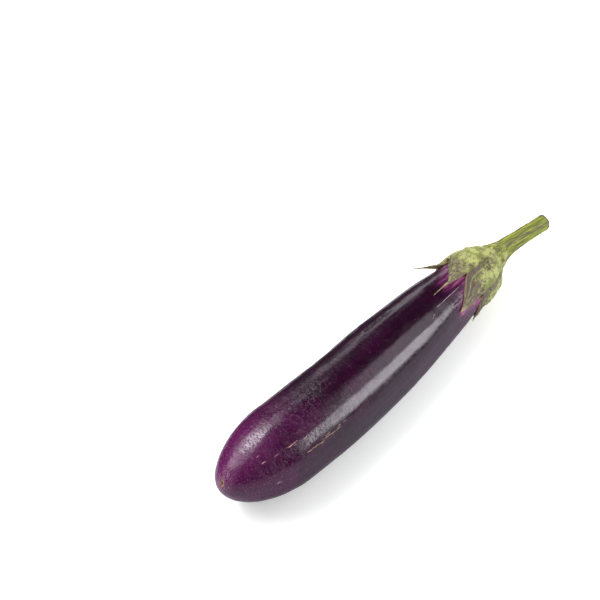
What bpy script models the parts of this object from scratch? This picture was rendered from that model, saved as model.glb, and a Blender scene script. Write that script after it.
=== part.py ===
"""A long slender eggplant lying on its side: the fruit, its lobed green cap and its stem.

The three pieces are turned straight up +Z and then bent together along one guide curve.
A station is a distance along that curve from the blossom end, which is at -X.
The row's origin lies on the small flat spot that the fruit rests on.
"""

import math

import bmesh
import bpy
import numpy as np
from mathutils import Matrix, Vector

# Fruit.
FRUIT_LENGTH = 0.2205
BELLY_RADIUS = 0.022
BELLY_STATION = 0.040
BLOSSOM_POWER = 1.7
NECK_RADIUS = 0.0142
CROWN_LENGTH = 0.0305
TAPER_POWER = 3.2
CROWN_POWER = 3.2
FRUIT_RINGS = 24
AROUND = 48

# Green cap over the neck end.
CAP_GAP = 0.0003
CAP_THICKNESS = 0.0013
CAP_REACH = 0.045
CAP_PAD_EDGE = 0.0006
CAP_PAD_RISE = 0.0012
CAP_RINGS = 16
LOBES = 5
LOBE_LENGTH = 0.021
LOBE_TIP_WIDTH = 0.0022
NOTCH_OVERRUN = 0.0005

# Stem.
STEM_LENGTH = 0.0395
STEM_GAP = 0.0003
STEM_ROOT_RADIUS = 0.0060
STEM_WAIST_RADIUS = 0.0040
STEM_CUT_RADIUS = 0.0047
STEM_EDGE = 0.0005
STEM_RINGS = 12
STEM_AROUND = 24

# Guide curve: the axis of the lying fruit. A pull is where a Bezier handle reaches.
REST_STATION = 0.100
BLOSSOM_SINK = 0.0005
BELLY_LIFT = 0.00045
BELLY_BOW = -0.0120
NECK_BOW = -0.0011
NECK_SAG = 0.67
CAP_CLEARANCE = 0.0002
STEM_BEND = -0.0039
STEM_RISE = 0.0006
GUIDE_RESOLUTION = 48

MERGE = 0.00001
CUTTER_DEPTH = 0.02


def clear_scene():
    for item in list(bpy.data.objects):
        bpy.data.objects.remove(item)


def new_collection(name):
    group = bpy.data.collections.new(name)
    bpy.context.scene.collection.children.link(group)
    return group


def new_material(name, color, roughness):
    material = bpy.data.materials.new(name)
    material.use_nodes = True
    shader = material.node_tree.nodes["Principled BSDF"]
    shader.inputs["Base Color"].default_value = (*color, 1.0)
    shader.inputs["Roughness"].default_value = roughness
    shader.inputs["Metallic"].default_value = 0.0
    return material


def fruit_radius(station):
    """Round blossom end, a belly, a long taper to the neck and a rounded crown."""
    to_belly = np.clip(1 - station / BELLY_STATION, 0, 1)
    blossom = np.sqrt(1 - to_belly**BLOSSOM_POWER)
    neck = FRUIT_LENGTH - CROWN_LENGTH
    down = np.clip((station - BELLY_STATION) / (neck - BELLY_STATION), 0, None)
    taper = BELLY_RADIUS - (BELLY_RADIUS - NECK_RADIUS) * down**TAPER_POWER
    up = np.clip((station - neck) / CROWN_LENGTH, 0, 1)
    crown = np.sqrt(1 - up**CROWN_POWER)
    return taper * blossom * crown


def stations_from_end(start, end, rings):
    """Stations from one end inwards, closest together at that end."""
    turn = np.linspace(0, math.pi / 2, rings)
    return start + (end - start) * np.cos(turn)


def cap_stations():
    """From the crown down to the cap's rim. The fruit shares them, so the gap is even."""
    return stations_from_end(FRUIT_LENGTH - CAP_REACH, FRUIT_LENGTH, CAP_RINGS)


def body_stations():
    """From the cap's rim down to the blossom end."""
    rim = FRUIT_LENGTH - CAP_REACH
    return stations_from_end(rim, 0.0, FRUIT_RINGS)[::-1]


def turned(name, radii, heights, steps, group, material):
    """A solid turned about Z from a profile that runs down its outer side."""
    points = [(r, 0.0, z) for r, z in zip(radii, heights)]
    edges = [(i, i + 1) for i in range(len(points) - 1)]
    mesh = bpy.data.meshes.new(name)
    mesh.from_pydata(points, edges, [])
    mesh.materials.append(material)
    item = bpy.data.objects.new(name, mesh)
    group.objects.link(item)
    screw = item.modifiers.new("turn", "SCREW")
    screw.axis = "Z"
    screw.angle = math.tau
    screw.steps = steps
    screw.render_steps = steps
    screw.use_smooth_shade = True
    screw.use_merge_vertices = True
    screw.merge_threshold = MERGE
    return item


def bend(item, guide):
    curve = item.modifiers.new("bend", "CURVE")
    curve.object = guide
    curve.deform_axis = "POS_Z"


def cut(item, cutter):
    boolean = item.modifiers.new("cut " + cutter.name, "BOOLEAN")
    boolean.operation = "DIFFERENCE"
    boolean.object = cutter


def hide_helper(item):
    item.hide_render = True
    item.display_type = "WIRE"


def cap_top():
    """Station of the cap's flat pad, where the stem sits."""
    return FRUIT_LENGTH + CAP_GAP + CAP_THICKNESS + CAP_PAD_RISE


def fruit_span():
    """The four points of the fruit's guide: a bow to one side, sagging to the neck."""
    end = cap_top()
    blossom = BELLY_RADIUS - BLOSSOM_SINK
    belly = BELLY_RADIUS + BELLY_LIFT
    crown = NECK_RADIUS + CAP_GAP + CAP_THICKNESS + CAP_CLEARANCE
    neck = crown + (belly - crown) * NECK_SAG
    heights = (blossom, belly, neck, crown)
    bows = (0.0, BELLY_BOW, NECK_BOW, 0.0)
    return [Vector((end * i / 3, bows[i], heights[i])) for i in range(4)]


def stem_span(fruit):
    """The four points of the stem's guide: on from the crown, then bent aside."""
    crown = fruit[3]
    ahead = (crown - fruit[2]).normalized()
    cut = crown + Vector((STEM_LENGTH, STEM_BEND, STEM_RISE))
    last = Vector((-STEM_LENGTH / 3, -STEM_BEND * 2 / 3, 0))
    return [crown, crown + ahead * STEM_LENGTH / 3, cut + last, cut]


def rest_point(span):
    """The point on the floor under the fruit's axis at the rest station."""
    turn = REST_STATION / cap_top()
    weights = ((1 - turn) ** 3, 3 * turn * (1 - turn) ** 2, 3 * turn**2 * (1 - turn), turn**3)
    middle = sum((point * weight for point, weight in zip(span, weights)), Vector())
    return Vector((REST_STATION, middle.y, 0))


def make_guide(group):
    """Two joined Bezier spans, moved so that the rest point is the row's origin."""
    fruit = fruit_span()
    stem = stem_span(fruit)
    origin = rest_point(fruit)
    data = bpy.data.curves.new("guide", "CURVE")
    data.dimensions = "3D"
    data.twist_mode = "Z_UP"
    data.resolution_u = GUIDE_RESOLUTION
    spline = data.splines.new("BEZIER")
    spline.bezier_points.add(2)
    knots = (
        (fruit[0], fruit[0], fruit[1]),
        (fruit[2], fruit[3], stem[1]),
        (stem[2], stem[3], stem[3]),
    )
    for knot, (before, here, after) in zip(spline.bezier_points, knots):
        knot.handle_left = before - origin
        knot.co = here - origin
        knot.handle_right = after - origin
    guide = bpy.data.objects.new("guide", data)
    group.objects.link(guide)
    hide_helper(guide)
    return guide


def make_floor_cutter(group):
    """Everything under the resting plane, to trim the flat spot."""
    mesh = bpy.data.meshes.new("floor_cutter")
    shape = bmesh.new()
    bmesh.ops.create_cube(shape, size=1)
    size = (2 * FRUIT_LENGTH, 4 * BELLY_RADIUS, CUTTER_DEPTH)
    bmesh.ops.transform(
        shape,
        matrix=Matrix.Translation((0, 0, -CUTTER_DEPTH / 2)) @ Matrix.Diagonal((*size, 1)),
        verts=shape.verts,
    )
    shape.to_mesh(mesh)
    shape.free()
    cutter = bpy.data.objects.new("floor_cutter", mesh)
    group.objects.link(cutter)
    hide_helper(cutter)
    return cutter


def make_fruit(group, helpers, guide):
    heights = np.concatenate([cap_stations(), body_stations()[1:]])
    skin = new_material("skin", (0.035, 0.008, 0.030), 0.18)
    fruit = turned("fruit", fruit_radius(heights), heights, AROUND, group, skin)
    bend(fruit, guide)
    cut(fruit, make_floor_cutter(helpers))
    return fruit


def offset_profile(distance, heights):
    """The fruit's outer line moved outwards, square to itself, by a distance."""
    radii = fruit_radius(heights)
    slope_r = np.gradient(radii)
    slope_z = np.gradient(heights)
    length = np.hypot(slope_r, slope_z)
    return radii - slope_z / length * distance, heights + slope_r / length * distance


def cap_profile():
    """Down the outside from the flat pad to the rim, then back up the inside."""
    heights = cap_stations()
    outer_r, outer_z = offset_profile(CAP_GAP + CAP_THICKNESS, heights)
    inner_r, inner_z = offset_profile(CAP_GAP, heights)
    pad_radius = STEM_ROOT_RADIUS + CAP_PAD_EDGE
    outside = outer_r > pad_radius
    top = cap_top()
    radii = [0.0, pad_radius, *outer_r[outside], *inner_r[:0:-1], 0.0]
    z = [top, top, *outer_z[outside], *inner_z[:0:-1], FRUIT_LENGTH + CAP_GAP]
    return radii, z


def make_notch_cutter(index, group):
    """A three-sided prism laid radially, its ridge towards the stem."""
    rim = FRUIT_LENGTH - CAP_REACH
    radius = fruit_radius(np.array([rim]))[0]
    half_width = radius * math.sin(math.pi / LOBES) - LOBE_TIP_WIDTH / 2
    mesh = bpy.data.meshes.new("notch_cutter")
    shape = bmesh.new()
    bmesh.ops.create_cone(
        shape, cap_ends=True, segments=3, radius1=1, radius2=1, depth=2 * BELLY_RADIUS
    )
    # The unit triangle's ridge sits 1.5 over its base, which is the root of 3 wide.
    height = LOBE_LENGTH + NOTCH_OVERRUN
    stretch = Matrix.Diagonal((2 * half_width / math.sqrt(3), height / 1.5, 1, 1))
    stand = Matrix.Rotation(math.pi / 2, 4, "X")
    middle = rim - NOTCH_OVERRUN + height / 3
    out = Matrix.Translation((0, -BELLY_RADIUS - MERGE, middle))
    around = Matrix.Rotation(math.tau * (index + 0.5) / LOBES, 4, "Z")
    bmesh.ops.transform(shape, matrix=around @ out @ stand @ stretch, verts=shape.verts)
    shape.to_mesh(mesh)
    shape.free()
    cutter = bpy.data.objects.new(f"notch_cutter_{index}", mesh)
    group.objects.link(cutter)
    hide_helper(cutter)
    return cutter


def make_cap(group, helpers, guide):
    radii, heights = cap_profile()
    green = new_material("cap_green", (0.26, 0.33, 0.09), 0.55)
    cap = turned("calyx", radii, heights, AROUND, group, green)
    for index in range(LOBES):
        cut(cap, make_notch_cutter(index, helpers))
    bend(cap, guide)


def make_stem(group, guide):
    """A round stem: wide at its root, waisted, clubbed at the cut."""
    foot = cap_top() + STEM_GAP
    top = foot + STEM_LENGTH
    heights = np.linspace(top - STEM_EDGE, foot, STEM_RINGS)
    rise = (heights - foot) / STEM_LENGTH
    root = (STEM_ROOT_RADIUS - STEM_WAIST_RADIUS) * (1 - rise) ** 4
    club = (STEM_CUT_RADIUS - STEM_WAIST_RADIUS) * rise**3
    side = STEM_WAIST_RADIUS + root + club
    radii = [0.0, side[0] - STEM_EDGE, *side, 0.0]
    z = [top, top, *heights, foot]
    green = new_material("stem_green", (0.24, 0.30, 0.08), 0.6)
    stem = turned("stem", radii, z, STEM_AROUND, group, green)
    bend(stem, guide)


def build():
    clear_scene()
    group = new_collection("eggplant")
    helpers = new_collection("helpers")
    guide = make_guide(helpers)
    make_fruit(group, helpers, guide)
    make_cap(group, helpers, guide)
    make_stem(group, guide)


build()
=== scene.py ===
"""A long slender eggplant on a pale studio floor: glossy skin, lobed green cap, ribbed cut stem.

Every surface is worked out around one bent axis. A station is a distance along that axis from the
blossom end. An angle turns round it: 0 is the front side (-Y), a quarter turn is the top.
All sizes are in metres.
"""

import math

import bpy
import numpy as np
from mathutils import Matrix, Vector


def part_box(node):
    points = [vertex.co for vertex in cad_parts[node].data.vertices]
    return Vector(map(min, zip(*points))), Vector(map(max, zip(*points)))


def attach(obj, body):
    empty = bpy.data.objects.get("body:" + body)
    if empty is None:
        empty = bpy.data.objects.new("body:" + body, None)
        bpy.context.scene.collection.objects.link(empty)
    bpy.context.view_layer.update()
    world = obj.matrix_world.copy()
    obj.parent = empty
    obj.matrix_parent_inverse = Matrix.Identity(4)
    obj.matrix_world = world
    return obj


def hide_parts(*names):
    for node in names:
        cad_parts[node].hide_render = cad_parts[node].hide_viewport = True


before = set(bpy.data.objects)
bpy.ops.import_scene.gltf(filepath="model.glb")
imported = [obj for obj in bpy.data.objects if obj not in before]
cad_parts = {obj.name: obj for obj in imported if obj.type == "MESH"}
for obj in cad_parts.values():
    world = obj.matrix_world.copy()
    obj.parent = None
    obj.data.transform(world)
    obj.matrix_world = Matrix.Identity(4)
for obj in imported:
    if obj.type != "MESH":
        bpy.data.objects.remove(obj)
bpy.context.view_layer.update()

# The axis, from the blossom end to the cap and on through the stem. Its sides and heights are
# those of each span's four Bezier points, and the cut is set back a little from the stem's end.
BLOSSOM_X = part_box("fruit")[0].x
CAP_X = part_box("calyx")[1].x
CUT_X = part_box("stem")[1].x
AXIS_SIDE = (0.0053, -0.0067, 0.0042, 0.0053)
AXIS_HEIGHT = (0.0215, 0.02245, 0.0203, 0.0160)
STEM_SIDE = (0.0053, 0.0052, 0.0031, 0.0012)
STEM_HEIGHT = (0.0160, 0.01524, 0.0160, 0.0156)
CUT_SETBACK = 0.0010
CAP_STATION = CAP_X - BLOSSOM_X
CUT_STATION = CAP_STATION + CUT_X - CAP_X - CUT_SETBACK

# Fruit.
FRUIT_LENGTH = 0.2205
BELLY_RADIUS = 0.022
BELLY_STATION = 0.040
BLOSSOM_POWER = 1.7
BLOSSOM_PLUMP = 0.0013
NECK_RADIUS = 0.0142
CROWN_LENGTH = 0.0305
TAPER_POWER = 3.2
CROWN_POWER = 3.2
SKIN_RINGS = 450
SKIN_AROUND = 220
PROFILE_STEPS = 4000
BLOSSOM_CROWDING = 1.22
FLOOR_SOFTNESS = 0.0003

# Blossom scar: a small corky pit in a raised rim, with puckers round it. Its fade is two stations.
SCAR_OFF_AXIS = 0.0042
SCAR_ANGLE = math.radians(80)
PIT_RADIUS = 0.0014
PIT_DEPTH = 0.0008
PIT_NARROWNESS = 1.7
RIM_RADIUS = 0.0029
RIM_WIDTH = 0.0009
RIM_HEIGHT = 0.00022
PUCKERS = 9
PUCKER_RADIUS = 0.0042
PUCKER_WIDTH = 0.0022
PUCKER_HEIGHT = 0.00006
SCAR_FADE = (0.012, 0.008)

# Flutes under the cap's edge, and one healed groove with a raised lip. A span or a fade is two
# stations, and the wander is (size, pace) of each of its two waves.
FLUTES = 6
FLUTE_HEIGHT = 0.00022
FLUTE_FADE = (0.12, 0.19)
GROOVE_ANGLE = math.radians(110)
GROOVE_START = (0.108, 0.112)
GROOVE_END = (0.134, 0.128)
GROOVE_WANDER = ((0.0004, 900), (0.0003, 2100))
GROOVE_DEPTH = 0.00034
GROOVE_WIDTH = 0.0007
LIP_HEIGHT = 0.00014
LIP_OFFSET = 0.0015
LIP_WIDTH = 0.0008

# Cap. Widths of midrib and valley and the start of the lift are shares of a lobe.
CAP_DOME_RADIUS = 0.0166
CAP_DOME_START = 0.188
CAP_ONTO_FRUIT = (CAP_DOME_START + 0.008, CAP_DOME_START - 0.006)
CAP_DOME_LENGTH = 0.0308
CAP_DOME_POWER = 2.4
CAP_TOP = 0.2270
CAP_RIM_THICKNESS = 0.0011
CAP_RIM_LIFT = 0.0006
CAP_CLEARANCE = 0.00015
CAP_JOIN_POWER = 7
CAP_ROOT_SHARE = 0.985
CAP_RIB_FADE = (0.223, 0.205)
MIDRIB_HEIGHT = 0.0006
MIDRIB_WIDTH = 0.20
VALLEY_DEPTH = 0.0011
VALLEY_WIDTH = 0.14
LIFT_START = 0.20
LIFT_POWER = 1.1
LEAST_FLESH = 0.0003
LEAST_WALL = 0.0004
LEAST_HOLLOW = 0.0008
CAP_SMOOTH_TOP = 0.004
CAP_SIDE_SHARE = 0.25
LOBE_ROUNDING = 0.12
LOBE_THINNING = 0.45
TAIL_THINNING = 0.60
TAIL_ROOT = 1.6
TAIL_TAPER = 1.2
NEAR_CAP_FROM = 0.135
NEAR_CAP_REACH = 0.006
CAP_COLUMNS = 44
CAP_BODY_ROWS = 70
CAP_LOBE_ROWS = 54

# Stem.
STEM_RADIUS = 0.0044
STEM_RIBS = 5
STEM_RIB_HEIGHT = 0.14
STEM_TWIST = 14.0
STEM_FLARE = 0.0021
STEM_FLARE_LENGTH = 0.0080
STEM_FLARE_LIMIT = 0.004
STEM_TIP_ROUND = 0.0015
STEM_FOOT = 0.2165
STEM_RINGS = 190
STEM_EDGE_RINGS = 8
STEM_AROUND = 144
CUT_RINGS = 26
CUT_DEPTH = 0.0012
CUT_INSET = 0.0001
CUT_BULGE = 0.00030
CUT_CROWN = 0.00018
CUT_HOLLOW = 0.00025
CUT_HOLLOW_SHARE = 0.25

# Relief in layers of waves: (height, wave size, seed, stretch).
WAVE_COUNT = 26
EVEN = (1.0, 1.0, 1.0)
SKIN_LAYERS = (
    (0.00030, 0.050, 3, EVEN),
    (0.00005, 0.011, 9, EVEN),
    (0.00005, 0.0045, 5, (9.0, 1.0, 1.0)),
    (0.000022, 0.0034, 7, (0.8, 1.6, 1.6)),
)
CAP_LAYERS = (
    (0.00044, 0.0052, 11, (2.0, 1.0, 1.0)),
    (0.00022, 0.0021, 12, (1.3, 1.0, 1.0)),
    (0.00004, 0.0010, 13, EVEN),
)
STEM_LAYERS = (
    (0.00012, 0.0040, 21, (3.5, 1.0, 1.0)),
    (0.00005, 0.0016, 22, (2.0, 1.0, 1.0)),
)
CUT_LAYERS = ((0.00008, 0.0012, 31, EVEN),)


# ---------------------------------------------------------------- shapes


def bezier(points, turn):
    """A cubic Bezier curve: the four points weighted by the Bernstein cubics."""
    points = np.asarray(points)
    turn = np.asarray(turn)[..., None]
    left = 1 - turn
    return (
        points[0] * left**3
        + points[1] * 3 * turn * left**2
        + points[2] * 3 * turn**2 * left
        + points[3] * turn**3
    )


def bezier_slope(points, turn):
    """The derivative of the cubic Bezier curve: its three chords weighted by the quadratics."""
    points = np.asarray(points)
    turn = np.asarray(turn)[..., None]
    left = 1 - turn
    chord = 3 * np.diff(points, axis=0)
    return chord[0] * left**2 + chord[1] * 2 * turn * left + chord[2] * turn**2


FRUIT_SPAN = np.stack([np.linspace(BLOSSOM_X, CAP_X, 4), AXIS_SIDE, AXIS_HEIGHT], axis=1)
STEM_SPAN = np.stack([np.linspace(CAP_X, CUT_X, 4), STEM_SIDE, STEM_HEIGHT], axis=1)


def axis(station):
    """The axis point and its direction: the fruit's span up to the cap, then the stem's."""
    on_fruit = station / CAP_STATION
    on_stem = (station - CAP_STATION) / (CUT_STATION - CAP_STATION)
    in_stem = (station > CAP_STATION)[..., None]
    point = np.where(in_stem, bezier(STEM_SPAN, on_stem), bezier(FRUIT_SPAN, on_fruit))
    slope = np.where(in_stem, bezier_slope(STEM_SPAN, on_stem), bezier_slope(FRUIT_SPAN, on_fruit))
    return point, slope / np.linalg.norm(slope, axis=-1, keepdims=True)


def around_axis(station, angle, radius):
    """Axis point + radius x (cos angle x side + sin angle x up), with side and up square to it."""
    station, angle, radius = np.broadcast_arrays(station, angle, radius)
    point, ahead = axis(station)
    side = np.cross(ahead, (0.0, 0.0, 1.0))
    side /= np.linalg.norm(side, axis=-1, keepdims=True)
    up = np.cross(side, ahead)
    turn = angle[..., None]
    return point + radius[..., None] * (np.cos(turn) * side + np.sin(turn) * up)


def straightened(station, angle, radius):
    """The same points with the axis unbent: (station, radius x cos angle, radius x sin angle)."""
    station, angle, radius = np.broadcast_arrays(station, angle, radius)
    return np.stack([station, radius * np.cos(angle), radius * np.sin(angle)], axis=-1)


def smooth_step(low, high, value):
    """0 below low, 1 above high, and the cubic 3t^2 - 2t^3 between them."""
    turn = np.clip((value - low) / (high - low), 0, 1)
    return turn * turn * (3 - 2 * turn)


def swell(value, middle, width):
    """A bell of height 1: exp(-((value - middle) / width)^2)."""
    return np.exp(-(((value - middle) / width) ** 2))


def waves(points, size, seed, stretch):
    """Smooth relief of about -1 to 1: plane cosine waves of nearly one size, in random
    directions and phases, added up. The points are divided by stretch first."""
    rng = np.random.default_rng(seed)
    direction = rng.normal(size=(3, WAVE_COUNT))
    direction /= np.linalg.norm(direction, axis=0)
    direction *= math.tau / size * rng.uniform(0.6, 1.5, WAVE_COUNT)
    phase = rng.uniform(0, math.tau, WAVE_COUNT)
    total = np.cos((points / np.asarray(stretch)) @ direction + phase).sum(axis=-1)
    return total / math.sqrt(2 * WAVE_COUNT)


def relief(points, layers):
    """The sum over the layers of height x waves."""
    return sum(height * waves(points, *layer) for height, *layer in layers)


def even_steps(station, radius, count, crowding):
    """Resamples a profile by its own length; crowding above 1 packs steps at its start."""
    steps = np.hypot(np.diff(station), np.diff(radius))
    length = np.concatenate([[0], np.cumsum(steps)])
    wanted = length[-1] * np.linspace(0, 1, count) ** crowding
    return np.interp(wanted, length, station), np.interp(wanted, length, radius)


def fruit_radius(station):
    """Taper x blossom end x crown. The taper falls from belly to neck by a power of the way along,
    and each end closes as a square root of 1 - share^power, the share being 1 at its very end."""
    to_belly = np.clip((BELLY_STATION - station) / (BELLY_STATION + BLOSSOM_PLUMP), 0, 1)
    blossom = np.sqrt(1 - to_belly**BLOSSOM_POWER)
    neck = FRUIT_LENGTH - CROWN_LENGTH
    down = np.clip((station - BELLY_STATION) / (neck - BELLY_STATION), 0, None)
    taper = BELLY_RADIUS - (BELLY_RADIUS - NECK_RADIUS) * down**TAPER_POWER
    up = np.clip((station - neck) / CROWN_LENGTH, 0, 1)
    return taper * blossom * np.sqrt(1 - up**CROWN_POWER)


def rib_turn(station, angle):
    """A full turn for each rib: ribs x (angle + distance past the cap x twist)."""
    return STEM_RIBS * (angle + (station - CAP_STATION) * STEM_TWIST)


def stem_radius(station, angle):
    """A rod that flares exponentially towards its foot, x (1 + rib height x the sum of |cos|^1.5
    of half the rib turn and a finer cosine), so that rounded ribs twist a little along it."""
    past_cap = np.clip(station - CAP_STATION, -STEM_FLARE_LIMIT, None)
    flare = STEM_FLARE * np.exp(-past_cap / STEM_FLARE_LENGTH)
    turn = rib_turn(station, angle)
    rib = np.abs(np.cos(turn / 2)) ** 1.5 - 0.6
    minor = 0.25 * np.cos(3 * turn + 1.0)
    return (STEM_RADIUS + flare) * (1 + STEM_RIB_HEIGHT * (rib + minor))


# ---------------------------------------------------------------- meshes


def new_piece(name, points, faces, material):
    """A smooth-shaded mesh object at the origin, its place in its vertices."""
    mesh = bpy.data.meshes.new(name)
    mesh.from_pydata(points.reshape(-1, 3), [], faces)
    mesh.polygons.foreach_set("use_smooth", np.ones(len(mesh.polygons), bool))
    mesh.materials.append(material)
    mesh.validate()
    piece = bpy.data.objects.new(name, mesh)
    bpy.context.scene.collection.objects.link(piece)
    return piece


def store_vector(piece, name, values):
    """One vector for each vertex, as a named attribute."""
    made = piece.data.attributes.new(name, "FLOAT_VECTOR", "POINT")
    made.data.foreach_set("vector", np.ascontiguousarray(values, np.float32).ravel())


def store_number(piece, name, values):
    """One number for each vertex, as a named attribute."""
    made = piece.data.attributes.new(name, "FLOAT", "POINT")
    made.data.foreach_set("value", np.ascontiguousarray(values, np.float32).ravel())


def quads(index):
    """Quads between neighbouring rows and columns of a grid of vertex numbers."""
    a, b = index[:-1, :-1], index[:-1, 1:]
    c, d = index[1:, 1:], index[1:, :-1]
    return np.stack([a, b, c, d], axis=-1).reshape(-1, 4)


def closed_tube_faces(rings, around):
    """Quads round a tube of rings, and a fan at each end to one pole vertex after the rings."""
    index = np.arange(rings * around).reshape(rings, around)
    index = np.concatenate([index, index[:, :1]], axis=1)
    side = quads(index)[:, ::-1].tolist()
    start, end = rings * around, rings * around + 1
    first, last = index[0], index[-1]
    start_fan = np.stack([np.full(around, start), first[:-1], first[1:]], axis=-1).tolist()
    end_fan = np.stack([np.full(around, end), last[1:], last[:-1]], axis=-1).tolist()
    return side + start_fan + end_fan


def with_poles(grid):
    """Ring points in one list, then the middle of the first and of the last ring."""
    ends = np.stack([grid[0].mean(axis=0), grid[-1].mean(axis=0)])
    return np.concatenate([grid.reshape(-1, grid.shape[-1]), ends])


def rest_on_floor(points):
    """Heights rounded off at the floor: (z + sqrt(z^2 + softness^2)) / 2, near z above it."""
    height = points[..., 2]
    points[..., 2] = (height + np.sqrt(height**2 + FLOOR_SOFTNESS**2)) / 2
    return points


# ---------------------------------------------------------------- cap outline

# Each lobe runs from its start angle to the next lobe's. The notch is at its start. The blade
# takes up its share of the lobe's length, and a thin tail follows, whose width goes with the half
# tip. Angles are in degrees, and the lift is how far the tip stands off the skin.
# (start angle, notch station, tip angle, tip station, blade share, narrowing power, half tip, lift)
LOBES = (
    (17, 0.1865, 29, 0.1625, 0.86, 1.10, 0.0005, 0.0006),
    (71, 0.1838, 81, 0.1560, 0.60, 0.90, 0.00022, 0.0001),
    (139, 0.1925, 143, 0.1700, 0.17, 0.55, 0.00045, 0.0066),
    (184, 0.1870, 212, 0.1660, 0.90, 1.20, 0.0006, 0.0010),
    (247, 0.1850, 276, 0.1690, 0.85, 1.30, 0.0006, 0.0003),
    (315, 0.1880, 337, 0.1760, 0.78, 0.95, 0.0004, 0.0016),
)


def lobe_grid(number, rows):
    """Angles and stations of one lobe's rows, from its notch line (row 0) to its tip, and how
    far along it each point is. The blade's width shrinks by 1 - (along / blade)^power, which
    bows its sides out. Two sines make its edges ragged and its tail sway, in degrees, and the
    tail tapers to its end."""
    start, notch, tip_angle, tip_station, blade, power, half_tip, _ = LOBES[number]
    end, next_notch = LOBES[(number + 1) % len(LOBES)][:2]
    end += 360 if end < start else 0
    across = np.linspace(0, 1, CAP_COLUMNS + 1)[None, :]
    along = np.linspace(0, 1, rows)[:, None]
    base_angle = start + (end - start) * across
    base_station = notch + (next_notch - notch) * across
    width = np.clip(1 - (along / blade) ** power, 0, 1)
    half = half_tip * (TAIL_ROOT - TAIL_TAPER * smooth_step(blade, 1.0, along)) * (1 - width)
    ragged = 0.9 * np.sin(9 * along + 2 * number) + 0.5 * np.sin(23 * along + 5 * number)
    sway = ragged * along * (1 - 0.5 * along)
    centre = tip_angle + sway * (1 - width)
    angle = base_angle * width + centre * (1 - width)
    angle = angle + np.degrees(half / NECK_RADIUS) * (2 * across - 1) + ragged * width * along
    rounded = (2 * across - 1) ** 2 * half_tip
    station = base_station * (1 - along) + (tip_station + rounded) * along
    return np.radians(angle), station, np.broadcast_to(along, angle.shape)


def cap_outline():
    """(station, angle) of points along the two sides of every lobe's blade."""
    sides = []
    for number in range(len(LOBES)):
        angle, station, _ = lobe_grid(number, CAP_LOBE_ROWS)
        blade = int(CAP_LOBE_ROWS * LOBES[number][4])
        angle, station = angle[:blade], station[:blade]
        sides.append(np.stack([station[:, 0], angle[:, 0]], axis=-1))
        sides.append(np.stack([station[:, -1], angle[:, -1]], axis=-1))
    return np.concatenate(sides)


def nearness_to_cap(station, angle):
    """exp(-distance / reach) from each skin point to the cap's outline, laid out flat."""
    near = np.zeros(station.shape)
    chosen = station > NEAR_CAP_FROM
    outline = cap_outline()
    along = station[chosen][:, None] - outline[None, :, 0]
    turn = angle[chosen][:, None] - outline[None, :, 1]
    turn = (turn + math.pi) % math.tau - math.pi
    distance = np.hypot(along, turn * NECK_RADIUS).min(axis=1)
    near[chosen] = np.exp(-distance / NEAR_CAP_REACH)
    return near


# ---------------------------------------------------------------- fruit


def skin_relief(straight, station, angle):
    """Heights added square to the plain skin: layers of waves, cosine flutes towards the cap, the
    blossom scar's pit, rim and puckers as bells round its middle, and a wandering groove."""
    layers = relief(straight, SKIN_LAYERS)
    flutes = FLUTE_HEIGHT * smooth_step(*FLUTE_FADE, station) * np.cos(FLUTES * angle + 1.0)
    side = straight[..., 1] - SCAR_OFF_AXIS * math.cos(SCAR_ANGLE)
    up = straight[..., 2] - SCAR_OFF_AXIS * math.sin(SCAR_ANGLE)
    off_scar = np.hypot(side * PIT_NARROWNESS, up)
    pit = -PIT_DEPTH * swell(off_scar, 0, PIT_RADIUS)
    rim = RIM_HEIGHT * swell(off_scar, RIM_RADIUS, RIM_WIDTH)
    spoke = np.cos(PUCKERS * np.arctan2(up, side) + 1.5)
    puckers = PUCKER_HEIGHT * spoke * swell(off_scar, PUCKER_RADIUS, PUCKER_WIDTH)
    scar = smooth_step(*SCAR_FADE, station) * (pit + rim + puckers)
    wander = sum(size * np.sin(station * pace) for size, pace in GROOVE_WANDER)
    off_groove = angle * BELLY_RADIUS - GROOVE_ANGLE * BELLY_RADIUS + wander
    hollow = -GROOVE_DEPTH * swell(off_groove, 0, GROOVE_WIDTH)
    lip = LIP_HEIGHT * swell(off_groove, LIP_OFFSET, LIP_WIDTH)
    present = smooth_step(*GROOVE_START, station) * smooth_step(*GROOVE_END, station)
    return layers + flutes + scar + present * (hollow + lip)


def make_fruit(material):
    """A turned profile in even steps, with the relief added square to it, bent along the axis."""
    turn = np.linspace(0, math.pi, PROFILE_STEPS)
    dense = (FRUIT_LENGTH + BLOSSOM_PLUMP) * (1 - np.cos(turn)) / 2 - BLOSSOM_PLUMP
    station, radius = even_steps(dense, fruit_radius(dense), SKIN_RINGS + 2, BLOSSOM_CROWDING)
    ahead, outward = np.gradient(station), np.gradient(radius)
    length = np.hypot(ahead, outward)
    square_ahead, square_outward = (-outward / length)[1:-1, None], (ahead / length)[1:-1, None]
    station, radius = station[1:-1, None], radius[1:-1, None]
    angle = np.linspace(-math.pi / 2, 1.5 * math.pi, SKIN_AROUND, endpoint=False)[None, :]
    plain = straightened(station, angle, radius)
    angle = np.broadcast_to(angle, plain.shape[:2])
    height = skin_relief(plain, plain[..., 0], angle)
    station, radius = station + square_ahead * height, radius + square_outward * height
    grid = rest_on_floor(around_axis(station, angle, radius))
    layout = np.stack([station, angle * BELLY_RADIUS, np.zeros_like(station)], axis=-1)
    faces = closed_tube_faces(SKIN_RINGS, SKIN_AROUND)
    fruit = new_piece("fruit_skin", with_poles(grid), faces, material)
    store_vector(fruit, "straight", with_poles(straightened(station, angle, radius)))
    store_vector(fruit, "layout", with_poles(layout))
    near = nearness_to_cap(station, angle)
    store_number(fruit, "near_cap", with_poles(near[..., None]))
    return fruit


# ---------------------------------------------------------------- cap


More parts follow.
